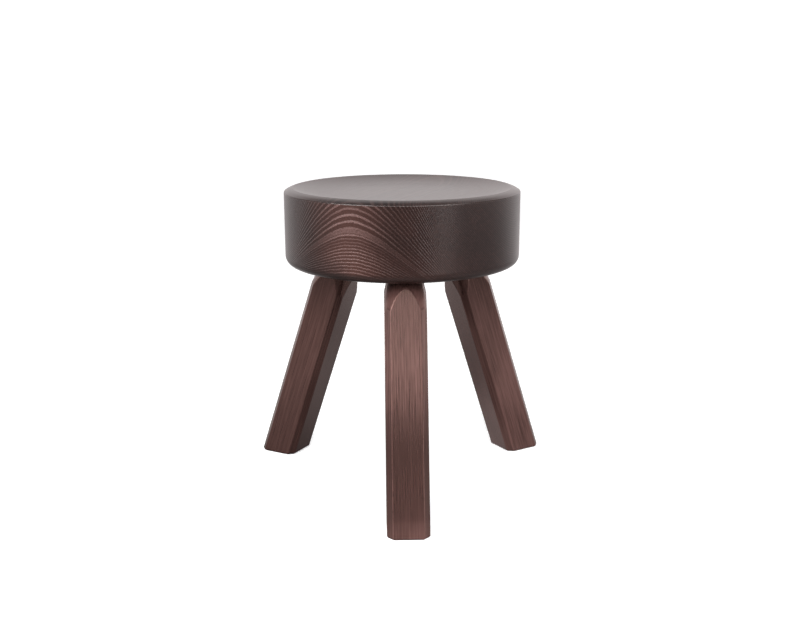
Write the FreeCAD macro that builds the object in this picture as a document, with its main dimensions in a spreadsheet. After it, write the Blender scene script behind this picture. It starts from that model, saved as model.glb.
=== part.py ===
import FreeCAD, Part
import math
import os
import Sketcher

# A low three-legged stool in dark stained softwood.
# One thick round seat, three splayed square legs with round tenons in blind bores,
# and a hidden wedge that spreads each tenon in its bore.
# Millimetres, +Z up. The origin is on the floor, under the centre of the seat.

doc = FreeCAD.newDocument("stool")

# Driving sizes
SIZES = [
    ("stool_height", 386),
    ("seat_diameter", 300),
    ("seat_thickness", 97),
    ("rim_bevel_width", 11),
    ("rim_bevel_drop", 4.6),
    ("rim_crest_round", 1.2),
    ("rim_edge_round", 2),
    ("underside_round", 12),
    ("dish_depth", 8),
    ("dish_cove_radius", 200),
    ("leg_side", 51),
    ("leg_chamfer", 7),
    ("leg_splay", 19.5),
    ("leg_inset", 62),
    ("front_leg_angle", 270),
    ("foot_chamfer", 2),
    ("tenon_inset", 2.5),
    ("tenon_length", 56),
    ("shoulder_reveal", 0.6),
    ("shoulder_angle", 12.5),
    ("bore_clearance", 0.1),
    ("bore_end_gap", 2),
    ("kerf_depth", 42),
    ("kerf_root", 1.6),
    ("wedge_head", 6),
    ("wedge_tip_gap", 4),
    ("cut_overrun", 5),
]

sheet = doc.addObject("Spreadsheet::Sheet", "sizes")
for row, (alias, size) in enumerate(SIZES, start=1):
    sheet.set("A%d" % row, alias)
    sheet.set("B%d" % row, str(size))
    sheet.setAlias("B%d" % row, alias)
doc.recompute()

# Sizes that follow from the driving ones, as expressions
UNDERSIDE = "(sizes.stool_height - sizes.seat_thickness)"
SEAT_RADIUS = "(sizes.seat_diameter / 2)"
CREST_RADIUS = "(sizes.seat_diameter / 2 - sizes.rim_bevel_width)"
LEG_RADIUS = "(sizes.seat_diameter / 2 - sizes.leg_inset)"
TENON_RADIUS = "(sizes.leg_side / 2 - sizes.tenon_inset)"
BORE_RADIUS = "(%s + sizes.bore_clearance)" % TENON_RADIUS
BORE_DEPTH = "(sizes.tenon_length + sizes.bore_end_gap)"
BORE_LIP = "(%s * tan(sizes.leg_splay * 1deg))" % BORE_RADIUS
KERF_BOTTOM = "(sizes.tenon_length - sizes.kerf_depth)"
WEDGE_SLOPE = "((sizes.wedge_head - sizes.kerf_root) / 2 / (%s - %s))" % (BORE_DEPTH, KERF_BOTTOM)

# The legs, evenly spaced round the seat, anticlockwise from the front when seen from above
LEGS = ["front", "back_right", "back_left"]

# Two places nearer than this are one place
SAME_PLACE = 1e-4


def origin_plane(body, role):
    """One of the three origin planes of a piece."""
    return next(f for f in body.Origin.OriginFeatures if f.Role == role)


def new_sketch(body, name, role):
    """An empty sketch on an origin plane of its own piece."""
    sketch = body.newObject("Sketcher::SketchObject", name)
    sketch.AttachmentSupport = [(origin_plane(body, role), "")]
    sketch.MapMode = "FlatFace"
    return sketch


def tilt_sketch(sketch, axis):
    """Tilt a sketch by the legs' splay about an axis."""
    turn_about = FreeCAD.Rotation(axis, 1)
    sketch.AttachmentOffset = FreeCAD.Placement(FreeCAD.Vector(0, 0, 0), turn_about)
    sketch.setExpression("AttachmentOffset.Rotation.Angle", "sizes.leg_splay")


def pin_point(sketch, edge, end, across, up):
    """Hold one end of an edge at two expressions, measured from the origin."""
    for kind, expression in (("DistanceX", across), ("DistanceY", up)):
        place = float(sketch.evalExpression(expression))
        index = sketch.addConstraint(Sketcher.Constraint(kind, -1, 1, edge, end, place))
        sketch.setExpression("Constraints[%d]" % index, expression)


def draw_outline(sketch, corners, arcs=None):
    """A closed outline through corners given as pairs of expressions.

    arcs maps the number of an edge to the expression of its radius, for an
    edge that is an arc with its centre on the left of the way it runs.
    """
    arcs = arcs or {}
    points = []
    for across, up in corners:
        x = float(sketch.evalExpression(across))
        y = float(sketch.evalExpression(up))
        points.append(FreeCAD.Vector(x, y, 0))
    count = len(points)
    for number, start in enumerate(points):
        end = points[(number + 1) % count]
        edge = Part.LineSegment(start, end)
        if number in arcs:
            radius = float(sketch.evalExpression(arcs[number]))
            chord = end - start
            left = FreeCAD.Vector(-chord.y, chord.x, 0).normalize()
            rise = math.sqrt(radius ** 2 - (chord.Length / 2) ** 2)
            middle = start + chord / 2
            belly = middle + left * (rise - radius)
            edge = Part.Arc(start, belly, end)
        sketch.addGeometry(edge, False)
    for number in range(count):
        after = (number + 1) % count
        sketch.addConstraint(Sketcher.Constraint("Coincident", number, 2, after, 1))
    for number, (across, up) in enumerate(corners):
        pin_point(sketch, number, 1, across, up)
    for number, expression in arcs.items():
        radius = float(sketch.evalExpression(expression))
        index = sketch.addConstraint(Sketcher.Constraint("Radius", number, radius))
        sketch.setExpression("Constraints[%d]" % index, expression)


def draw_circle(sketch, expression):
    """A circle on the sketch's origin."""
    radius = float(sketch.evalExpression(expression))
    centre = FreeCAD.Vector(0, 0, 0)
    sketch.addGeometry(Part.Circle(centre, FreeCAD.Vector(0, 0, 1), radius), False)
    sketch.addConstraint(Sketcher.Constraint("Coincident", 0, 3, -1, 1))
    index = sketch.addConstraint(Sketcher.Constraint("Radius", 0, radius))
    sketch.setExpression("Constraints[%d]" % index, expression)


def turn(body, kind, name, sketch):
    """Turn a sketch a full circle about its upright axis, to add or to cut."""
    feature = body.newObject(kind, name)
    feature.Profile = sketch
    feature.ReferenceAxis = (sketch, ["V_Axis"])
    feature.Angle = 360
    doc.recompute()
    return feature


def cut_across(body, name, sketch):
    """Cut a sketch right through a piece, both ways from its plane."""
    feature = body.newObject("PartDesign::Pocket", name)
    feature.Profile = sketch
    feature.Type = "ThroughAll"
    feature.SideType = "Symmetric"
    doc.recompute()
    return feature


def edge_names(shape, wanted):
    """The names of a shape's edges that pass a test."""
    return ["Edge%d" % n for n, edge in enumerate(shape.Edges, start=1) if wanted(edge)]


def round_rim(body, name, base, radius, height, size):
    """Round one circle of the seat, found by its radius and its height."""
    across = float(sheet.evalExpression(radius))
    up = float(sheet.evalExpression(height))

    def on_circle(edge):
        curve = edge.Curve
        if not isinstance(curve, Part.Circle):
            return False
        return abs(curve.Radius - across) < SAME_PLACE and abs(curve.Center.z - up) < SAME_PLACE

    feature = body.newObject("PartDesign::Fillet", name)
    feature.Base = (base, edge_names(base.Shape, on_circle))
    feature.setExpression("Radius", size)
    doc.recompute()
    return feature


def leg_placement(name):
    """Where a leg's own frame lies: on its axis at the underside, leaning out."""
    share = LEGS.index(name) / len(LEGS)
    direction = "sizes.front_leg_angle + 360 * %r" % share
    turned = "placement(vector(0; 0; 0); rotation(vector(0; 0; 1); %s))" % direction
    lean = "rotation(vector(0; -1; 0); sizes.leg_splay)"
    leaned = "placement(vector(%s; 0; %s); %s)" % (LEG_RADIUS, UNDERSIDE, lean)
    return "%s * %s" % (turned, leaned)


# The seat: one thick disc, turned with a bevelled rim, a shallow flat-bottomed dish
# above and a large round below, and bored from below for the three tenons.
def make_seat():
    body = doc.addObject("PartDesign::Body", "seat")
    body.Label = "seat"

    section = new_sketch(body, "seat_section", "XZ_Plane")
    dish_floor = "(sizes.stool_height - sizes.dish_depth)"
    cove_reach = "sqrt(2 * sizes.dish_cove_radius * sizes.dish_depth - sizes.dish_depth ^ 2)"
    wall_top = "(sizes.stool_height - sizes.rim_bevel_drop)"
    draw_outline(section, [
        ("0", UNDERSIDE),
        (SEAT_RADIUS, UNDERSIDE),
        (SEAT_RADIUS, wall_top),
        (CREST_RADIUS, "sizes.stool_height"),
        ("%s - %s" % (CREST_RADIUS, cove_reach), dish_floor),
        ("0", dish_floor),
    ], {3: "sizes.dish_cove_radius"})
    blank = turn(body, "PartDesign::Revolution", "seat_blank", section)

    top = "sizes.stool_height"
    shaped = round_rim(body, "seat_crest", blank, CREST_RADIUS, top, "sizes.rim_crest_round")
    shaped = round_rim(body, "seat_edge", shaped, SEAT_RADIUS, wall_top, "sizes.rim_edge_round")
    round_rim(body, "seat_underside", shaped, SEAT_RADIUS, UNDERSIDE, "sizes.underside_round")

    mouth = new_sketch(body, "bore_mouth", "XY_Plane")
    draw_circle(mouth, BORE_RADIUS)
    start = "(%s + sizes.cut_overrun)" % BORE_LIP
    out = "%s + %s * sin(sizes.leg_splay * 1deg)" % (LEG_RADIUS, start)
    level = "%s - %s * cos(sizes.leg_splay * 1deg)" % (UNDERSIDE, start)
    tilt_sketch(mouth, FreeCAD.Vector(-1, 0, 0))
    mouth.setExpression("AttachmentOffset.Base.y", "-(%s)" % out)
    mouth.setExpression("AttachmentOffset.Base.z", level)

    bore = body.newObject("PartDesign::Pocket", "bore")
    bore.Profile = mouth
    bore.Reversed = True
    bore.setExpression("Length", "%s + %s" % (BORE_DEPTH, start))
    doc.recompute()

    bores = body.newObject("PartDesign::PolarPattern", "bores")
    bores.Originals = [bore]
    bores.Axis = (origin_plane(body, "Z_Axis"), [""])
    bores.Angle = 360
    bores.Occurrences = len(LEGS)
    body.Tip = bores
    doc.recompute()
    return body


# A leg: square stock with chamfered arrises, cut off level with the floor, its top
# turned to a round tenon whose conical shoulder runs out down the four faces,
# and sawn down the middle for the wedge.
def make_leg(name):
    body = doc.addObject("PartDesign::Body", "leg_" + name)
    body.Label = "leg_" + name
    half = "sizes.leg_side / 2"
    foot_middle = "(%s / cos(sizes.leg_splay * 1deg))" % UNDERSIDE
    foot_lean = "(%s * tan(sizes.leg_splay * 1deg))" % half
    reach = "(%s + %s + sizes.cut_overrun)" % (foot_middle, foot_lean)

    square = new_sketch(body, "leg_square_" + name, "XY_Plane")
    draw_outline(square, [
        ("-" + half, "-" + half),
        (half, "-" + half),
        (half, half),
        ("-" + half, half),
    ])
    square.setExpression("AttachmentOffset.Base.z", "-" + reach)
    blank = body.newObject("PartDesign::Pad", "leg_blank_" + name)
    blank.Profile = square
    blank.setExpression("Length", "%s + sizes.tenon_length" % reach)
    doc.recompute()

    arrises = body.newObject("PartDesign::Chamfer", "leg_arrises_" + name)
    along = edge_names(blank.Shape, lambda edge: abs(edge.tangentAt(edge.FirstParameter).z) > 0.5)
    arrises.Base = (blank, along)
    arrises.setExpression("Size", "sizes.leg_chamfer")
    doc.recompute()

    floor = new_sketch(body, "leg_floor_" + name, "XY_Plane")
    wide = "(sizes.leg_side + sizes.cut_overrun)"
    draw_outline(floor, [
        ("-" + wide, "-" + wide),
        (wide, "-" + wide),
        (wide, wide),
        ("-" + wide, wide),
    ])
    tilt_sketch(floor, FreeCAD.Vector(0, 1, 0))
    floor.setExpression("AttachmentOffset.Base.z", "-" + foot_middle)
    foot = body.newObject("PartDesign::Pocket", "leg_foot_" + name)
    foot.Profile = floor
    foot.Type = "ThroughAll"
    doc.recompute()

    def on_floor(edge):
        tilt = math.radians(float(sheet.get("leg_splay")))
        level = float(sheet.evalExpression(UNDERSIDE))
        heights = [level + v.X * math.sin(tilt) + v.Z * math.cos(tilt) for v in edge.Vertexes]
        return max(abs(z) for z in heights) < SAME_PLACE

    eased = body.newObject("PartDesign::Chamfer", "leg_foot_chamfer_" + name)
    eased.Base = (foot, edge_names(foot.Shape, on_floor))
    eased.setExpression("Size", "sizes.foot_chamfer")
    doc.recompute()

    shoulder = "(%s + sizes.shoulder_reveal)" % BORE_LIP
    flare = "(sizes.leg_side + sizes.cut_overrun)"
    run_out = "(%s / tan(sizes.shoulder_angle * 1deg))" % flare
    top = "sizes.tenon_length + sizes.cut_overrun"
    waste = new_sketch(body, "leg_waste_" + name, "XZ_Plane")
    draw_outline(waste, [
        (TENON_RADIUS, top),
        (TENON_RADIUS, "-" + shoulder),
        ("%s + %s" % (TENON_RADIUS, flare), "-%s - %s" % (shoulder, run_out)),
        ("%s + %s" % (TENON_RADIUS, flare), top),
    ])
    turn(body, "PartDesign::Groove", "leg_tenon_" + name, waste)

    kerf = new_sketch(body, "leg_kerf_" + name, "XZ_Plane")
    root = "sizes.kerf_root / 2"
    mouth = "(%s + %s * (sizes.kerf_depth + sizes.cut_overrun))" % (root, WEDGE_SLOPE)
    draw_outline(kerf, [
        ("-" + root, KERF_BOTTOM),
        (root, KERF_BOTTOM),
        (mouth, top),
        ("-" + mouth, top),
    ])
    cut_across(body, "leg_saw_cut_" + name, kerf)

    body.setExpression("Placement", leg_placement(name))
    doc.recompute()
    return body


# A wedge: a thin hardwood taper in the saw cut of a tenon, its thick end on the
# bottom of the bore, its two edges rounded to the tenon.
def make_wedge(name):
    body = doc.addObject("PartDesign::Body", "wedge_" + name)
    body.Label = "wedge_" + name
    tip_height = "(%s + sizes.wedge_tip_gap)" % KERF_BOTTOM
    tip = "(sizes.kerf_root / 2 + %s * sizes.wedge_tip_gap)" % WEDGE_SLOPE
    head = "sizes.wedge_head / 2"

    taper = new_sketch(body, "wedge_taper_" + name, "XZ_Plane")
    draw_outline(taper, [
        ("-" + tip, tip_height),
        (tip, tip_height),
        (head, BORE_DEPTH),
        ("-" + head, BORE_DEPTH),
    ])
    blank = body.newObject("PartDesign::Pad", "wedge_blank_" + name)
    blank.Profile = taper
    blank.SideType = "Symmetric"
    blank.setExpression("Length", "2 * (%s + sizes.cut_overrun)" % TENON_RADIUS)
    doc.recompute()

    waste = new_sketch(body, "wedge_waste_" + name, "XZ_Plane")
    outside = "%s + 2 * sizes.cut_overrun" % TENON_RADIUS
    below = "%s - sizes.cut_overrun" % tip_height
    above = "%s + sizes.cut_overrun" % BORE_DEPTH
    draw_outline(waste, [
        (TENON_RADIUS, below),
        (outside, below),
        (outside, above),
        (TENON_RADIUS, above),
    ])
    turn(body, "PartDesign::Groove", "wedge_edges_" + name, waste)

    body.setExpression("Placement", leg_placement(name))
    doc.recompute()
    return body


pieces = [make_seat()]
pieces += [make_leg(name) for name in LEGS]
pieces += [make_wedge(name) for name in LEGS]
doc.recompute()

for item in doc.Objects:
    if "Invalid" in item.State or "Error" in item.State:
        raise RuntimeError("%s failed: %s" % (item.Label, item.State))
for piece in pieces:
    if piece.Shape.isNull() or not piece.Shape.isValid() or len(piece.Shape.Solids) != 1:
        raise RuntimeError("%s is not one valid solid" % piece.Label)

os.makedirs("parts", exist_ok=True)
for piece in pieces:
    piece.Shape.exportStep("parts/%s.step" % piece.Label)
    box = piece.Shape.BoundBox
    volume = piece.Shape.Volume
    print("%-18s volume %10.1f mm3, z %7.2f to %7.2f" % (piece.Label, volume, box.ZMin, box.ZMax))
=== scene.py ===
import math

import bmesh
import bpy
from mathutils import Matrix, Vector


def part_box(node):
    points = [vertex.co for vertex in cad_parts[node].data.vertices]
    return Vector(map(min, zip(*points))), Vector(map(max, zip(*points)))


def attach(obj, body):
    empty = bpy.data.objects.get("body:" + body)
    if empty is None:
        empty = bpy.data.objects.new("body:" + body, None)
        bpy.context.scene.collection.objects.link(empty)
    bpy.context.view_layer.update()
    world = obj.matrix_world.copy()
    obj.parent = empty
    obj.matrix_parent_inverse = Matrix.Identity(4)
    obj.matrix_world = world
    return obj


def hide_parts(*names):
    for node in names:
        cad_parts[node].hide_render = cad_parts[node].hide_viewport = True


# A low three-legged stool in dark stained softwood, in metres, in the frame's own axes.
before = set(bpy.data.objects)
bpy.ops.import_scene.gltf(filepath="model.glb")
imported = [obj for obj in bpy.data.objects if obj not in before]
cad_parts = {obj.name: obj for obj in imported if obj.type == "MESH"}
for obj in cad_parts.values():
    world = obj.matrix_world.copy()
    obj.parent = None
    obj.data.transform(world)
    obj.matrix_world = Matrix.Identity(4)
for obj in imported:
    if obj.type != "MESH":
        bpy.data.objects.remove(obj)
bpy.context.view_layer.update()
scene = bpy.context.scene


# Legs. Three lengths of square softwood with chamfered arrises, cut off level with the floor.
# The top of each is turned to a round tenon, whose conical shoulder runs out down the four
# faces in arches. They are stained and lacquered, and glued and wedged into the seat.
leg_side = 0.051
leg_half = leg_side / 2
leg_chamfer = 0.007
leg_arris_round = 0.0012
leg_arris_steps = 4
leg_outline_stretch = 0.001
leg_splay = math.radians(19.5)
leg_inset = 0.062
leg_directions = {"front": 270, "back_right": 30, "back_left": 150}
foot_chamfer = 0.002
tenon_set_back = 0.0025
tenon_radius = leg_half - tenon_set_back
tenon_length = 0.056
tenon_end_round = 0.001
bore_clearance = 0.0001
bore_end_gap = 0.002
shoulder_reveal = 0.0006
shoulder_angle = math.radians(12.5)
shoulder_ease = 0.01
kerf_depth = 0.042
kerf_root = 0.0016
kerf_mouth = 0.006

seat_low, seat_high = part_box("seat")
seat_radius = (seat_high.x - seat_low.x) / 2
underside = seat_low.z
shoulder = (tenon_radius + bore_clearance) * math.tan(leg_splay) + shoulder_reveal


def round_corners(corners, radii, steps):
    """An outline's points, with an arc of the given radius at each corner that has one."""
    points = []
    count = len(corners)
    for number, corner in enumerate(corners):
        radius = radii[number]
        if radius == 0:
            points.append(corner)
            continue
        before = (corners[number - 1] - corner).normalized()
        after = (corners[(number + 1) % count] - corner).normalized()
        half = before.angle(after) / 2
        centre = corner + (before + after).normalized() * radius / math.sin(half)
        start = corner + before * radius / math.tan(half)
        end = corner + after * radius / math.tan(half)
        for step in range(steps + 1):
            spoke = (start - centre).slerp(end - centre, step / steps)
            points.append(centre + spoke * radius)
    return points


def divide_sides(points, longest):
    """A closed outline with its long sides divided, so that no stretch is over a length."""
    divided = []
    for start, end in zip(points, points[1:] + points[:1]):
        parts = max(1, math.ceil((end - start).length / longest))
        divided += [start.lerp(end, part / parts) for part in range(parts)]
    return divided


def skin(name, rings, lidded=True):
    """A mesh over rings of points, each as long as the next, closed below and, if lidded, above."""
    mesh = bpy.data.meshes.new(name)
    work = bmesh.new()
    rows = [[work.verts.new(point) for point in ring] for ring in rings]
    for low, high in zip(rows, rows[1:]):
        for number, vert in enumerate(low):
            after = (number + 1) % len(low)
            work.faces.new((vert, low[after], high[after], high[number]))
    work.faces.new(reversed(rows[0]))
    if lidded:
        work.faces.new(rows[-1])
    for face in work.faces:
        face.smooth = True
    bmesh.ops.recalc_face_normals(work, faces=work.faces)
    work.to_mesh(mesh)
    work.free()
    piece = bpy.data.objects.new(name, mesh)
    scene.collection.objects.link(piece)
    return piece


def cut_away(piece, cutter):
    """Cut one closed mesh out of another, and throw the cutter away."""
    cut = piece.modifiers.new("cut", "BOOLEAN")
    cut.operation = "DIFFERENCE"
    cut.solver = "EXACT"
    cut.object = cutter
    graph = bpy.context.evaluated_depsgraph_get()
    result = bpy.data.meshes.new_from_object(piece.evaluated_get(graph))
    piece.modifiers.remove(cut)
    piece.data = result
    bpy.data.objects.remove(cutter)


def leg_frame(name):
    """The matrix from a leg's own frame, up its axis from the underside, to the stool's."""
    facing = Matrix.Rotation(math.radians(leg_directions[name]), 4, "Z")
    placed = Matrix.Translation((seat_radius - leg_inset, 0, underside))
    return facing @ placed @ Matrix.Rotation(leg_splay, 4, (0, -1, 0))


def leg_outline():
    """The section of a leg: a square with chamfered corners and eased arrises."""
    half = leg_half
    flat = leg_half - leg_chamfer
    corners = [Vector((x, y)) for x, y in (
        (half, -flat), (half, flat), (flat, half), (-flat, half),
        (-half, flat), (-half, -flat), (-flat, -half), (flat, -half),
    )]
    radii = [leg_arris_round] * len(corners)
    return divide_sides(round_corners(corners, radii, leg_arris_steps), leg_outline_stretch)


def turned_radius(height):
    """How far out the turning cuts at a height of the leg's own frame."""
    return tenon_radius + max(0, -shoulder - height) * math.tan(shoulder_angle)


def ease(a, b, width):
    """The lesser of two numbers, with the change from one to the other rounded."""
    blend = max(width - abs(a - b), 0) / width
    return min(a, b) - blend ** 2 * width / 4


def leg_ring(outline, height_at):
    """One ring of a leg: the outline at its heights, held within the turning."""
    ring = []
    for point in outline:
        height = height_at(point)
        share = ease(1, turned_radius(height) / point.length, shoulder_ease)
        ring.append(Vector((point.x * share, point.y * share, height)))
    return ring


def tenon_ring(outline, radius, level):
    """One ring of a tenon: a circle with as many points as the leg's outline."""
    return [Vector((*(point.normalized() * radius), level)) for point in outline]


def make_leg(name):
    """A leg in its own frame, from its sloping sole up to the end of its tenon."""
    outline = leg_outline()
    inset_outline = [point * (1 - foot_chamfer / leg_half) for point in outline]
    arch_foot = -shoulder - (leg_half * math.sqrt(2) - tenon_radius) / math.tan(shoulder_angle)
    plain_rows, arch_rows, tenon_rows = 12, 84, 6
    first_share = 0.004

    def sole(point):
        return -(underside + point.x * math.sin(leg_splay)) / math.cos(leg_splay)

    def foot(point):
        return sole(point) + foot_chamfer

    rings = [leg_ring(inset_outline, sole)]
    for share in [0, first_share] + [row / plain_rows for row in range(1, plain_rows + 1)]:
        rings.append(leg_ring(outline, lambda p: foot(p) + (arch_foot - foot(p)) * share))
    for row in range(1, arch_rows + 1):
        level = arch_foot + (-shoulder - arch_foot) * row / arch_rows
        rings.append(leg_ring(outline, lambda p: level))
    for row in range(1, tenon_rows + 1):
        level = -shoulder + (tenon_length - tenon_end_round + shoulder) * row / tenon_rows
        rings.append(tenon_ring(outline, tenon_radius, level))
    rings.append(tenon_ring(outline, tenon_radius - tenon_end_round, tenon_length))
    return skin("leg_" + name, rings)


def make_saw_cut():
    """The tapered saw cut that takes the wedge, as a solid to cut away."""
    bottom = tenon_length - kerf_depth
    over = 0.005
    wide = leg_half + over
    spread = (kerf_mouth - kerf_root) / (kerf_depth + bore_end_gap)
    mouth = kerf_root + spread * (kerf_depth + over)
    rings = []
    for level, gap in ((bottom, kerf_root), (tenon_length + over, mouth)):
        rings.append([Vector((x * gap / 2, y * wide, level))
                      for x, y in ((1, -1), (1, 1), (-1, 1), (-1, -1))])
    return skin("saw_cut", rings)


def keep_grain(piece, to_timber):
    """Keep each point's place in its timber, in millimetres: across the grain, along it, and up."""
    grain = piece.data.attributes.new("grain", "FLOAT_VECTOR", "POINT")
    for number, vert in enumerate(piece.data.vertices):
        grain.data[number].vector = to_timber(vert.co) * 1000


def keep_number(piece, name, number_at):
    """Keep a number for each point of a piece, for its material to read."""
    kept = piece.data.attributes.new(name, "FLOAT", "POINT")
    for number, vert in enumerate(piece.data.vertices):
        kept.data[number].value = number_at(vert.co)


# The legs' painted light. A painted highlight runs along the edges, to a depth of half a
# millimetre. The front leg's turning is painted paler, as lit, where it is clear of the flats and
# chamfers, from a little below the seat; above that it lies in the seat's shadow.
edge_highlight_depth = 0.0005
pale_from, pale_full = 0.00018, 0.00078
pale_below_seat, full_below_seat = 0.015, 0.025


def below_faces(point):
    """How far a point of a leg lies below the leg's flats, and below its chamfers."""
    across, through = abs(point.x), abs(point.y)
    below_flat = leg_half - max(across, through)
    below_chamfer = (leg_side - leg_chamfer - across - through) / math.sqrt(2)
    return below_flat, below_chamfer


def progress(value, start, end):
    """How far a value has come from a start to an end, held between 0 and 1."""
    return min(max((value - start) / (end - start), 0), 1)


def rubbed(point):
    """How strong the painted highlight is at a point of a leg: 1 on an arch's rim, half on an arris.
    """
    below_flat, below_chamfer = below_faces(point)
    below_turning = turned_radius(point.z) - math.hypot(point.x, point.y)
    rim = progress(max(below_flat, below_turning), edge_highlight_depth, 0)
    arris = progress(max(below_flat, below_chamfer), edge_highlight_depth, 0)
    return max(rim, arris / 2)


def turned(point):
    """How much painted light the turning gets at a point of a leg: 1 low on the shoulder, 0 near the
    seat, in its shadow.
    """
    on_turning = progress(min(below_faces(point)), pale_from, pale_full)
    below_seat = progress(-point.z, pale_below_seat, full_below_seat)
    return on_turning * below_seat


class Shade:
    """A socket of a material; sums, products and the like of sockets add Math nodes."""

    def __init__(self, tree, socket=None):
        self.tree = tree
        self.socket = socket

    def node(self, kind, settings=None, inputs=None, output=0):
        """Add a node: its settings first, then the values or links of its sockets."""
        node = self.tree.nodes.new("ShaderNode" + kind)
        for name, value in (settings or {}).items():
            if name == "stops":
                ramp = node.color_ramp
                ramp.interpolation = "EASE"
                while len(ramp.elements) < len(value):
                    ramp.elements.new(1)
                for element, (place, shade) in zip(ramp.elements, value):
                    element.position = place
                    element.color = (shade, shade, shade, 1)
            else:
                setattr(node, name, value)
        for name, value in (inputs or {}).items():
            socket = node.inputs[name]
            if isinstance(value, Shade):
                self.tree.links.new(value.socket, socket)
            else:
                socket.default_value = value
        return Shade(self.tree, node.outputs[output])

    def math(self, operation, *others):
        """A Math node on this and the others."""
        return self.node("Math", {"operation": operation}, dict(enumerate((self, *others))))

    def math_after(self, operation, other):
        """A Math node on another value first, and then this."""
        return self.node("Math", {"operation": operation}, {0: other, 1: self})

    def vector(self, operation, *others, output="Vector"):
        """A Vector Math node on this and the others."""
        terms = dict(enumerate((self, *others)))
        return self.node("VectorMath", {"operation": operation}, terms, output)

    def __add__(self, other):
        return self.math("ADD", other)

    def __radd__(self, other):
        return self.math_after("ADD", other)

    def __sub__(self, other):
        return self.math("SUBTRACT", other)

    def __rsub__(self, other):
        return self.math_after("SUBTRACT", other)

    def __mul__(self, other):
        return self.math("MULTIPLY", other)

    def __rmul__(self, other):
        return self.math_after("MULTIPLY", other)

    def __truediv__(self, other):
        return self.math("DIVIDE", other)

    def __rtruediv__(self, other):
        return self.math_after("DIVIDE", other)

    def __pow__(self, other):
        return self.math("POWER", other)

    def __rpow__(self, other):
        return self.math_after("POWER", other)

    def part(self, axis):
        """The X, Y or Z of a vector."""
        return self.node("SeparateXYZ", None, {"Vector": self}, axis)

    def noise(self, scale, detail=2.0, stretch=(1, 1, 1)):
        """Noise about 0.5 at this place, stretched along the axes."""
        place = self.vector("MULTIPLY", stretch)
        return place.node("TexNoise", None, {"Vector": place, "Scale": scale, "Detail": detail})

    def ramp(self, *stops):
        """A curve through stops, each a place and a value, eased between them."""
        return self.node("ValToRGB", {"stops": stops}, {"Fac": self})

    def step(self, low, high):
        """A smooth step from 0 at low to 1 at high."""
        settings = {"interpolation_type": "SMOOTHSTEP"}
        return self.node("MapRange", settings, {"Value": self, "From Min": low, "From Max": high})

    def hump(self, middle, reach):
        """A round hump: 1 at the middle, and 0 from the reach outwards on both sides."""
        away = (self - middle) / reach
        return (1.0 - away * away).math("MAXIMUM", 0.0)

    def held(self):
        """This held between 0 and 1."""
        return self.math("MINIMUM", 1.0).math("MAXIMUM", 0.0)

    def mix(self, low, high):
        """Two colours mixed by this share. A Mix node takes colours at 6 and 7 and gives one at 2."""
        return self.node("Mix", {"data_type": "RGBA"}, {0: self, 6: low, 7: high}, 2)

    def feed(self, shader, name):
        """Link this to one of a shader's sockets."""
        self.tree.links.new(self.socket, shader.inputs[name])


def new_material(name, constants):
    """A material, and its shader with the constants set on its sockets."""
    material = bpy.data.materials.new(name)
    material.use_nodes = True
    shader = material.node_tree.nodes["Principled BSDF"]
    for socket, value in constants.items():
        shader.inputs[socket].default_value = value
    return material, shader


def finish_wood(shader, colour, roughness, height, relief):
    """Feed a wood's colour, roughness and relief to its shader."""
    normal = height.node("Bump", None, {"Strength": 1.0, "Distance": relief, "Height": height})
    colour.feed(shader, "Base Color")
    roughness.feed(shader, "Roughness")
    normal.feed(shader, "Normal")


def dress(piece, material):
    """Give a piece one material."""
    piece.data.materials.clear()
    piece.data.materials.append(material)


# The legs' timber: straight grain seen nearly edge on, its rings about 3 mm apart, under a dark
# brown stain. Its fibres glow in the wood's own colour where they mirror a light.
lacquer_ior = 1.5
leg_stain_dark = (0.014, 0.0055, 0.0045, 1)
leg_stain_light = (0.112, 0.056, 0.050, 1)
leg_fibre_glow = (1.0, 0.62, 0.54, 1)
leg_relief = 0.00006
board_start, board_length = -320.0, 1200.0
board_shift = {"front": 0.0, "back_right": 0.4, "back_left": 0.8}


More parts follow.
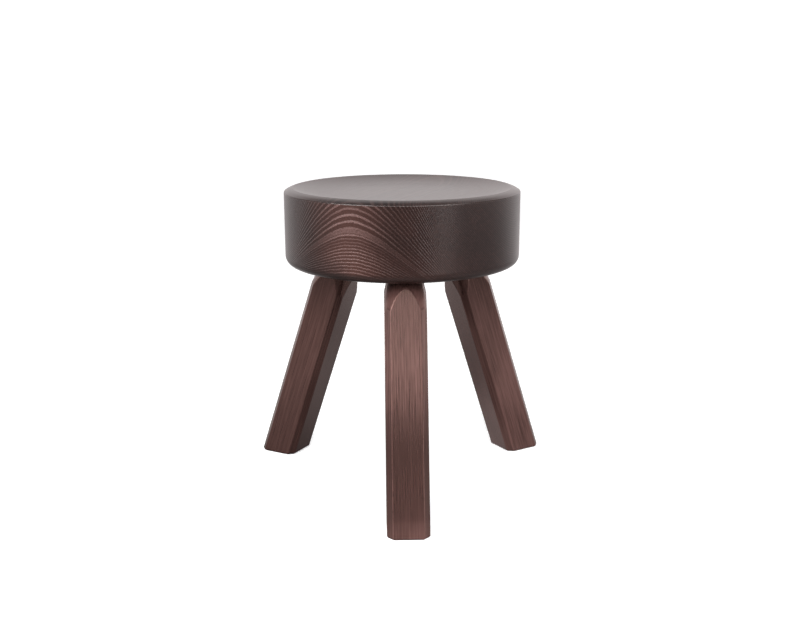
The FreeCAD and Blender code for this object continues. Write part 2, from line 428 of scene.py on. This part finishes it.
def make_leg_timber():
    material, shader = new_material("leg_timber", {
        "IOR": lacquer_ior, "Specular IOR Level": 1.0, "Specular Tint": leg_fibre_glow})
    start = Shade(material.node_tree)
    grain = start.node("Attribute", {"attribute_name": "grain"}, output="Vector")
    across = grain.part("X")
    through = grain.part("Z")
    sway = grain.noise(0.02, stretch=(1, 0.12, 1)) - 0.5
    turn = (across * 0.30 + through * 0.13 + sway * 5.0).math("FRACT")
    late = turn.ramp((0.0, 0.0), (0.3, 0.1), (0.55, 0.6), (0.72, 1.0), (0.82, 0.0))
    fibre = grain.noise(0.55, detail=4.0, stretch=(1, 0.02, 1))
    pores = grain.noise(1.1, stretch=(1, 0.03, 1))
    tone = grain.noise(0.04, stretch=(1, 0.3, 1))

    # The board's tone changes along its length and from leg to leg. This is partly the stain and
    # partly
    # painted light: the front leg's foot is lighter for light thrown up from the floor, the front leg
    # is paler high up, and each leg's tone makes up for the light it gets. Its fibres show less where
    # dark.
    # Its stretches are the front leg, from its foot up, the right back leg and the left one.
    place = (grain.part("Y") - board_start) / board_length
    board_tone_and_light = place.ramp(
        (0.003, 1.0), (0.017, 0.71), (0.026, 0.39), (0.054, 0.33), (0.096, 0.22), (0.115, 0.31),
        (0.142, 0.55), (0.175, 0.65), (0.208, 0.44), (0.25, 0.39), (0.31, 0.39),
        (0.33, 1.3), (0.42, 1.25), (0.5, 0.95), (0.61, 0.98),
        (0.65, 0.53), (0.77, 0.53), (0.8, 0.66), (1.0, 0.66)) * 2.0
    crisp = place.ramp(
        (0.02, 0.6), (0.09, 0.8), (0.14, 1.9), (0.21, 1.9), (0.24, 0.9), (0.31, 0.7), (1.0, 0.7))
    streaks = ((fibre - 0.5) * 1.5 + (pores - 0.5) * 1.5) * crisp + (tone - 0.5) * 1.1
    shade = (late * 0.16 * crisp + streaks * 0.42 + 0.29) * board_tone_and_light

    # The inner side is darkened, a painted shade for the light that the seat and legs keep off it.
    # Elsewhere a painted highlight runs along the arrises and the arch rims, stronger on the left,
    # and the front leg's turning is painted paler where light reaches it, most of all down its
    # middle.
    inner_edge = (leg_chamfer - leg_half) * 1000
    inner = 1.0 - through.step(inner_edge - 1.0, inner_edge + 1.0)
    # Painted shade on the inner side
    shade = shade * (1.0 - inner * 0.5)
    # A patchy painted highlight on the arrises and arch rims, stronger on the left, where the light
    # is
    edge_shine = start.node("Attribute", {"attribute_name": "rubbed"}, output="Fac")
    edge_shine = edge_shine * (0.75 - across.step(-10.0, 10.0) * 0.5) * grain.noise(0.2).step(0.2, 0.6)
    # Painted light on the front leg's turning, fading out into the seat's shadow
    pale = start.node("Attribute", {"attribute_name": "turned"}, output="Fac")
    pale = pale * (0.65 - (across * across).step(400.0, 640.0) * 0.55)
    shade = (shade + (edge_shine * 1.8 + pale) * (1.0 - inner)).held()

    colour = shade.mix(leg_stain_dark, leg_stain_light)
    roughness = 0.21 + (fibre - 0.5) * 0.12
    height = late * 0.5 + (fibre - 0.5) * 1.4 + (pores - 0.5) * 0.5
    finish_wood(shader, colour, roughness, height, leg_relief)
    return material


leg_timber = make_leg_timber()
for name in leg_directions:
    leg = make_leg(name)
    cut_away(leg, make_saw_cut())
    keep_grain(leg, lambda p: Vector((p.y, p.z + board_shift[name], p.x)))
    keep_number(leg, "rubbed", rubbed)
    # Only the front leg's turning is painted lit: the back legs' turnings lie in the seat's shadow
    keep_number(leg, "turned", lambda p: turned(p) if name == "front" else 0)
    leg.data.transform(leg_frame(name))
    dress(leg, leg_timber)
    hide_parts("leg_" + name)
    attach(leg, "root")


# Wedges. A thin taper of bare hardwood in the saw cut of each tenon, driven home by the
# bottom of the bore as the leg goes in. None of them shows on the made stool.
wedge_brown = (0.45, 0.30, 0.17, 1)
wedge_pale = (0.62, 0.45, 0.28, 1)
wedge_relief = 0.00008


def make_wedge_timber():
    material, shader = new_material("wedge_timber", {"IOR": lacquer_ior})
    place = Shade(material.node_tree).node("TexCoord", output="Object")
    streak = place.noise(600.0, detail=3.0, stretch=(1, 1, 0.08))
    shade = streak.step(0.3, 0.7)
    colour = shade.mix(wedge_brown, wedge_pale)
    roughness = 0.7 - shade * 0.1
    finish_wood(shader, colour, roughness, streak, wedge_relief)
    return material


wedge_timber = make_wedge_timber()
for name in leg_directions:
    dress(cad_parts["wedge_" + name], wedge_timber)


# Seat. One thick disc of softwood, turned: a bevelled rim, a shallow dish above and a large
# round below, with three blind bores for the tenons. Its grain lies level, so the rings of
# the log show as arches on the side, and as streaks on the top.
rim_bevel_width = 0.011
rim_bevel_drop = 0.0046
rim_bevel_crown = 0.0005
rim_crest_round = 0.0012
rim_edge_round = 0.002
underside_round = 0.012
dish_depth = 0.008
dish_cove_radius = 0.2
seat_columns = 384
seat_middle_radius = 0.0015


def circle(radius, height, columns):
    """A level ring of points about the upright axis."""
    spokes = [math.tau * number / columns for number in range(columns)]
    return [Vector((radius * math.cos(a), radius * math.sin(a), height)) for a in spokes]


def crown_bevel(start, end, parts=8):
    """Points along the rim's bevel, raised a little in its middle."""
    along = end - start
    out = Vector((along.y, -along.x)).normalized()
    shares = [part / parts for part in range(1, parts)]
    return [start + along * share + out * rim_bevel_crown * 4 * share * (1 - share)
            for share in shares]


def seat_profile():
    """The seat's section from the middle of its underside round to the middle of its dish."""
    top = seat_high.z
    crest = seat_radius - rim_bevel_width
    floor = top - dish_depth
    reach = math.sqrt(2 * dish_cove_radius * dish_depth - dish_depth ** 2)
    sweep = math.asin(reach / dish_cove_radius)
    round_steps, cove_steps = 14, 24
    cove = []
    for step in range(1, cove_steps + 1):
        angle = sweep * (1 - step / cove_steps)
        across = crest - reach + dish_cove_radius * math.sin(angle)
        cove.append(Vector((across, floor + dish_cove_radius * (1 - math.cos(angle)))))
    corners = [
        Vector((seat_middle_radius, underside)),
        Vector((seat_radius, underside)),
        Vector((seat_radius, top - rim_bevel_drop)),
        Vector((crest, top)),
        *cove,
        Vector((seat_middle_radius, floor)),
    ]
    radii = [0, underside_round, rim_edge_round, rim_crest_round] + [0] * (len(cove) + 1)
    profile = round_corners(corners, radii, round_steps)

    # The first point and two arcs come before the bevel, and the crest's arc after it
    bevel = 1 + 2 * (round_steps + 1)
    return profile[:bevel] + crown_bevel(profile[bevel - 1], profile[bevel]) + profile[bevel:]


def make_seat():
    """The seat turned from its section, whose long runs are divided and held near their ends."""
    long_run, run_part, end_hold = 0.01, 0.012, 0.0006
    profile = seat_profile()
    points = profile[:1]
    for last, point in zip(profile, profile[1:]):
        run = (point - last).length
        if run > long_run:
            parts = round(run / run_part)
            points.append(last.lerp(point, end_hold / run))
            points += [last.lerp(point, part / parts) for part in range(1, parts)]
            points.append(last.lerp(point, 1 - end_hold / run))
        points.append(point)
    return skin("seat", [circle(point.x, point.y, seat_columns) for point in points])


def make_bore(name):
    """A blind bore for a tenon, as a solid to cut away."""
    radius = tenon_radius + bore_clearance
    below = 0.01
    columns = 96
    levels = (-shoulder - below, tenon_length + bore_end_gap)
    bore = skin("bore", [circle(radius, level, columns) for level in levels])
    bore.data.transform(leg_frame(name))
    return bore


# The seat's timber. The log lay along the seat, with its end grain to the front and back: there
# the rings arch over the log's middle, flatter on the left than on the right, and steepest far
# out on the right. Lengths in the timber are in millimetres, and pairs are for left and right.
grain_turn = math.radians(23.9)
# The turn at which the end grain shows its painted sheen
sheen_turn = math.radians(27)
arch_middle, arch_height = -2.7, 340.0
arch_crown = (33.8, 51.4)
arch_slope = (0.653, 0.998)
arch_squeeze = (0.01604, 0.01111)
squeeze_least, squeeze_ease = 0.3, 0.1
middle_width = 15.0
flank_start, flank_bend = 100.0, 0.0143
ring_sway, ring_ripple = 2.6, 1.5
heart_edge, bark_edge = 5.9, 51.9
heart_pitch, middle_pitch, bark_pitch = 4.06, 7.67, 9.4
seat_stain_dark = (0.0085, 0.0038, 0.0034, 1)
seat_stain_red = (0.066, 0.025, 0.0185, 1)
seat_ring_pale = (0.172, 0.100, 0.092, 1)
seat_sheen = (1.0, 0.91, 0.895, 1)
seat_relief = 0.00018


def ring_depth(grain, across, up):
    """How far out in the log a place lies. The rings arch over its middle, and steepen outwards."""
    right = (across / middle_width).math("TANH") * 0.5 + 0.5

    def left_to_right(ends):
        return ends[0] + right * (ends[1] - ends[0])

    crown = left_to_right(arch_crown)
    arch = ((across * across + crown * crown).math("SQRT") - crown) * left_to_right(arch_slope)
    squeeze = 1.0 - arch * left_to_right(arch_squeeze)
    squeeze = squeeze.math("SMOOTH_MAX", squeeze_least, squeeze_ease)
    flank = (across - flank_start).math("MAXIMUM", 0.0)
    sway = (grain.noise(0.05, stretch=(1, 0.08, 1)) - 0.5) * ring_sway
    ripple = (grain.noise(0.45, stretch=(1, 0.1, 1)) - 0.5) * ring_ripple
    return (up + arch + flank * flank * flank_bend) / squeeze + sway + ripple


def ring_lines(depth):
    """The pale line of each growth ring: fine rings at the heart, broad ones outside."""
    inner = depth.math("MINIMUM", heart_edge)
    outer = depth.math("MAXIMUM", bark_edge)
    between = depth.math("MINIMUM", bark_edge).math("MAXIMUM", heart_edge)
    count = ((inner - heart_edge) / heart_pitch + (between - heart_edge) / middle_pitch
             + (outer - bark_edge) / bark_pitch + 0.5)
    late = count.math("FRACT").ramp(
        (0.0, 0.0), (0.28, 0.0), (0.43, 0.85), (0.5, 1.0), (0.57, 0.85), (0.78, 0.0))

    # One broad line just outside the heart, weaker lines within it, and no two lines alike
    late = late.math("MAXIMUM", depth.hump(10.8, 3.4) * 0.75)
    ring = count.node("TexWhiteNoise", {"noise_dimensions": "1D"}, {"W": count.math("FLOOR")})
    strength = (1.0 - depth.hump(-1.0, 7.0) * 0.4) * (ring * 0.5 + 0.75)
    return late * strength


def make_seat_timber():
    material, shader = new_material("seat_timber", {
        "IOR": lacquer_ior, "Specular Tint": seat_sheen})
    start = Shade(material.node_tree)
    grain = start.node("Attribute", {"attribute_name": "grain"}, output="Vector")
    across = grain.part("X") - arch_middle
    rise = grain.part("Z")
    speck = grain.noise(0.75, detail=3.0, stretch=(1, 0.04, 1))
    fibre = grain.noise(0.33, detail=3.0, stretch=(1, 0.02, 1))
    tone = grain.noise(0.014, stretch=(1, 0.3, 1))

    # End grain drank the most stain and shows its rings the most. Facing the sheen's turn it also
    # glows redder in a narrow band: a painted sheen of its fibres.
    normal = start.node("TexCoord", output="Normal")
    ends = (-math.sin(sheen_turn), -math.cos(sheen_turn), 0)
    end_on = normal.vector("DOT_PRODUCT", ends, output="Value").math("ABSOLUTE")
    fibre_sheen = end_on ** 40.0
    level = normal.part("Z")
    flat = level * level
    show = (fibre_sheen * 0.86 + 0.14) * (1.0 - flat * 0.9) + flat * 0.11
    line = ring_lines(ring_depth(grain, across, rise - arch_height))
    line = line * (0.55 + speck.step(0.3, 0.62) * 0.45)

    # The painted sheen makes the ground redder as well
    # The ground between the rings is a little paler low on the side
    ground = fibre_sheen * 0.62 + end_on.step(0.5, 0.95) * 0.13 + flat * 0.08
    ground = ground + (1.0 - rise.step(310.0, 338.0)) * 0.1
    ground = ground + (speck - 0.5) * 0.35 + (fibre - 0.5) * 0.3 + (tone - 0.5) * 0.45

    # Ground and rings are both darker along the lower edge, left of the arches
    fade = 1.0 - (1.0 - rise.step(302.0, 325.0)) * (1.0 - across.step(-22.0, 8.0)) * 0.5
    stain = (ground * fade).held().mix(seat_stain_dark, seat_stain_red)
    colour = (line * (show * fade)).mix(stain, seat_ring_pale)

    # The rings stand up on the end grain, and hardly at all on the top
    relief = (end_on.step(0.6, 0.97) * 0.85 + 0.15) * (1.0 - flat * 0.92)
    roughness = 0.33 - line * relief * 0.08 + (speck - 0.5) * 0.08
    height = (line + (speck - 0.5) * 0.25) * relief
    finish_wood(shader, colour, roughness, height, seat_relief)
    return material


seat = make_seat()
for name in leg_directions:
    cut_away(seat, make_bore(name))
keep_grain(seat, lambda p: Vector((
    p.x * math.cos(grain_turn) - p.y * math.sin(grain_turn),
    -p.x * math.sin(grain_turn) - p.y * math.cos(grain_turn),
    p.z,
)))
dress(seat, make_seat_timber())
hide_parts("seat")
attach(seat, "root")


# Studio. A pale round floor that sweeps up to a wall all round. Just under it lies a paper that
# only reflections see. It sweeps up behind the stool too, and stands up at both sides. It glows,
# a painted reflection of the studio: bright behind, and dim round the stool in a painted shadow
# of the stool, with bright spots that the legs mirror.
floor_radius = 3.2
floor_middle_radius = 0.01
floor_columns = 96
sweep_radius = 0.9
sweep_steps = 12
wall_height = 3.0
paper_half_width = 2.3
paper_front = -2.8
paper_back = 2.3
paper_bend = 0.6
paper_bend_steps = 8
paper_height = 2.6
paper_side_height = 1.0
paper_depth = 0.001
paper_tint = (1.0, 0.94, 0.94, 1)
black = (0, 0, 0, 1)


def make_floor():
    rings = [circle(floor_middle_radius, 0, floor_columns)]
    for step in range(sweep_steps + 1):
        angle = math.pi / 2 * step / sweep_steps
        radius = floor_radius - sweep_radius + sweep_radius * math.sin(angle)
        rings.append(circle(radius, sweep_radius * (1 - math.cos(angle)), floor_columns))
    rings.append(circle(floor_radius, wall_height, floor_columns))
    floor = skin("floor", rings, lidded=False)
    material, shader = new_material("pale_floor", {
        "Base Color": (0.86, 0.86, 0.86, 1),
        "Roughness": 0.9,
        "Specular IOR Level": 0.1,
        "Emission Color": (1, 1, 1, 1),
        "Emission Strength": 0.5,
    })
    dress(floor, material)
    return floor


def paper_glow(place):
    """How bright the paper is at a place of it."""
    side = place.part("X")
    back = place.part("Y")
    up = place.part("Z")
    wide = side.math("ABSOLUTE")
    low = 1.0 - up.step(0.1, 0.4)
    away = place.vector("LENGTH", output="Value")

    def spot(x, y, full, gone, strength):
        """A spot on the ground that is full within one radius and gone at another."""
        distance = place.vector("DISTANCE", (x, y, 0.0), output="Value")
        return (1.0 - distance.step(full, gone)) * strength

    # Behind the stool: less at the foot to the left and right, less high up, more to the right
    behind = (back + wide * 0.15).step(0.15, 1.8)
    left = side.step(-0.2, -0.9) * low
    right = side.step(0.5, 1.3) * low
    behind = behind * (0.52 + low * (0.13 - left * 0.19 - right * 0.25) + up.step(0.9, 1.7) * 0.14)
    behind = behind * (1.0 - up.step(1.7, 2.4) * (0.5 + side.step(-0.2, -0.9) * 0.3))
    behind = behind * (side * 0.06 + side.step(0.2, 0.9) * 0.1 + 1.0)

    # Near the stool it is dim, a painted shadow of the stool on the floor. It is brighter beside the
    # legs and under the seat's front, and darkest well before it.
    near = 0.07 + away.step(0.45, 1.1) * 0.05 + wide.step(0.6, 1.3) * 0.02
    beside_legs = wide.step(0.15, 0.45) * (1.0 - away.step(0.6, 1.2))
    near = near + beside_legs * (0.12 + side.step(0.1, 0.3) * 0.09)
    near = near + back.step(0.0, -0.35) * (1.0 - away.step(0.3, 0.7)) * 0.26
    before = back.step(-0.9, -1.3) * (1.0 - wide.step(0.4, 0.9))
    near = near * (1.0 - before * 0.75)

    # The upright sides: brightest in their upper half and on the right
    sides = 1.0 - back.step(0.5, 1.5)
    sides = sides * (0.35 + side.step(1.0, 2.0) * 0.3 + up.step(0.5, 0.75))
    bright = near + up.step(0.1, 0.25) * (0.2 + sides) + behind

    # A bright patch between the back legs, and spots for their inner faces and the right side
    bright = bright + back.step(0.3, 0.6) * (1.0 - wide.step(0.2, 0.45)) * low * 0.75
    bright = bright + spot(0.1, 0.22, full=0.12, gone=0.3, strength=0.13)
    bright = bright + spot(-0.24, 0.31, full=0.06, gone=0.25, strength=0.24)
    bright = bright + spot(0.1, 0.1, full=0.03, gone=0.13, strength=0.14)
    return bright + spot(1.2, -1.6, full=0.1, gone=0.5, strength=0.35)


def make_glowing_paper():
    profile = [(paper_front, 0)]
    for step in range(paper_bend_steps + 1):
        angle = math.pi / 2 * step / paper_bend_steps
        back = paper_back - paper_bend * (1 - math.sin(angle))
        profile.append((back, paper_bend * (1 - math.cos(angle))))
    profile.append((paper_back, paper_height))
    points = [(side * paper_half_width, y, z - paper_depth) for y, z in profile for side in (-1, 1)]
    faces = [(n, n + 1, n + 3, n + 2) for n in range(0, len(points) - 2, 2)]
    for side in (-1, 1):
        first = len(points)
        points += [(side * paper_half_width, y, z) for y in (paper_front, paper_back)
                   for z in (0, paper_side_height)]
        faces.append((first, first + 1, first + 3, first + 2))
    mesh = bpy.data.meshes.new("paper")
    mesh.from_pydata(points, [], faces)
    paper = bpy.data.objects.new("paper", mesh)
    scene.collection.objects.link(paper)
    material, shader = new_material("glowing_paper", {"Base Color": black, "Emission Strength": 1.5})
    place = Shade(material.node_tree).node("TexCoord", output="Object")
    paper_glow(place).mix(black, paper_tint).feed(shader, "Emission Color")
    dress(paper, material)
    return paper


floor = make_floor()
floor.visible_glossy = False
floor.visible_diffuse = False
paper = make_glowing_paper()
paper.visible_camera = False
paper.visible_diffuse = False
paper.visible_shadow = False

world = bpy.data.worlds.new("studio")
scene.world = world
world.use_nodes = True
background = world.node_tree.nodes["Background"]
background.inputs["Color"].default_value = (1, 1, 1, 1)
background.inputs["Strength"].default_value = 0.25


# Lights. A long front softbox, with a strip at each side that only reflections see, draws the
# light line along the rim. The softboxes behind, left, right and for the front leg show in the
# lacquer. The key, the ceiling light and the floor's bounce aren't mirrored.
seat_middle = Vector((0, 0, 0.3))


def make_softbox(name, place, aim, width, height, radiance):
    """A flat light with the same radiance all over, aimed at a point."""
    light = bpy.data.lights.new(name, "AREA")
    light.shape = "RECTANGLE"
    light.size = width
    light.size_y = height
    light.energy = radiance * math.pi * width * height
    softbox = bpy.data.objects.new(name, light)
    scene.collection.objects.link(softbox)
    softbox.location = place
    softbox.rotation_euler = (Vector(aim) - Vector(place)).to_track_quat("-Z", "Y").to_euler()
    return softbox


def around(turn, rise, distance):
    """A place seen from the seat at a turn to the right of the front, and a rise, in degrees."""
    turn = math.radians(turn)
    rise = math.radians(rise)
    level = math.cos(rise)
    return seat_middle + distance * Vector((
        math.sin(turn) * level, -math.cos(turn) * level, math.sin(rise)))


make_softbox("back_softbox", (0.1, 1.75, 2.4), (0.1, 1.74, 0), width=2.2, height=1.1, radiance=0.9)
make_softbox("front_softbox", around(-6, 44, 2.4), seat_middle, width=1.8, height=0.26, radiance=10)
left_strip = make_softbox(
    "left_strip", around(-54, 46, 2.4), seat_middle, width=1.6, height=0.45, radiance=22)
right_strip = make_softbox(
    "right_strip", around(44, 46, 2.4), seat_middle, width=1.3, height=0.45, radiance=20)
make_softbox("leg_softbox", (0, -2.7, 1.64), seat_middle, width=1.2, height=0.9, radiance=1.6)
make_softbox("right_softbox", around(36, 4, 2.2), seat_middle, width=0.5, height=0.6, radiance=5.5)
make_softbox("left_softbox", around(-50, 27, 2.2), seat_middle, width=1.0, height=1.2, radiance=4.5)
key = make_softbox(
    "key_light", around(-3, 29, 2.5), seat_middle, width=1.4, height=1.4, radiance=8.7)
ceiling = make_softbox(
    "ceiling_light", (-0.4, -0.5, 2.4), (-0.2, -0.2, 0), width=2.2, height=2.0, radiance=1.6)
bounce = make_softbox(
    "floor_bounce", (0, 0, 0.003), (0, 0, 1), width=1.6, height=1.6, radiance=0.25)
for strip in (left_strip, right_strip):
    strip.visible_diffuse = False
for light in (key, ceiling, bounce):
    light.visible_glossy = False
bounce.visible_camera = False


# Camera. At the photograph's place: in front of the front leg, a little to its left, and
# looking down by 14 degrees.
camera_distance = 1.36144
camera_height = 0.54966
camera_turn = math.radians(1.888)
camera_yaw = math.radians(1.756)
camera_pitch = math.radians(13.989)
camera_roll = math.radians(-0.172)
camera_focal_pixels = 1070.1
photo_width_pixels = 800

lens = bpy.data.cameras.new("camera")
lens.sensor_width = 36
lens.lens = camera_focal_pixels * lens.sensor_width / photo_width_pixels
camera = bpy.data.objects.new("camera", lens)
scene.collection.objects.link(camera)
camera.matrix_world = (
    Matrix.Translation((
        -camera_distance * math.sin(camera_turn),
        -camera_distance * math.cos(camera_turn),
        camera_height,
    ))
    @ Matrix.Rotation(-camera_yaw, 4, "Z")
    @ Matrix.Rotation(math.pi / 2 - camera_pitch, 4, "X")
    @ Matrix.Rotation(camera_roll, 4, "Z")
)
scene.camera = camera
scene.view_settings.view_transform = "Standard"
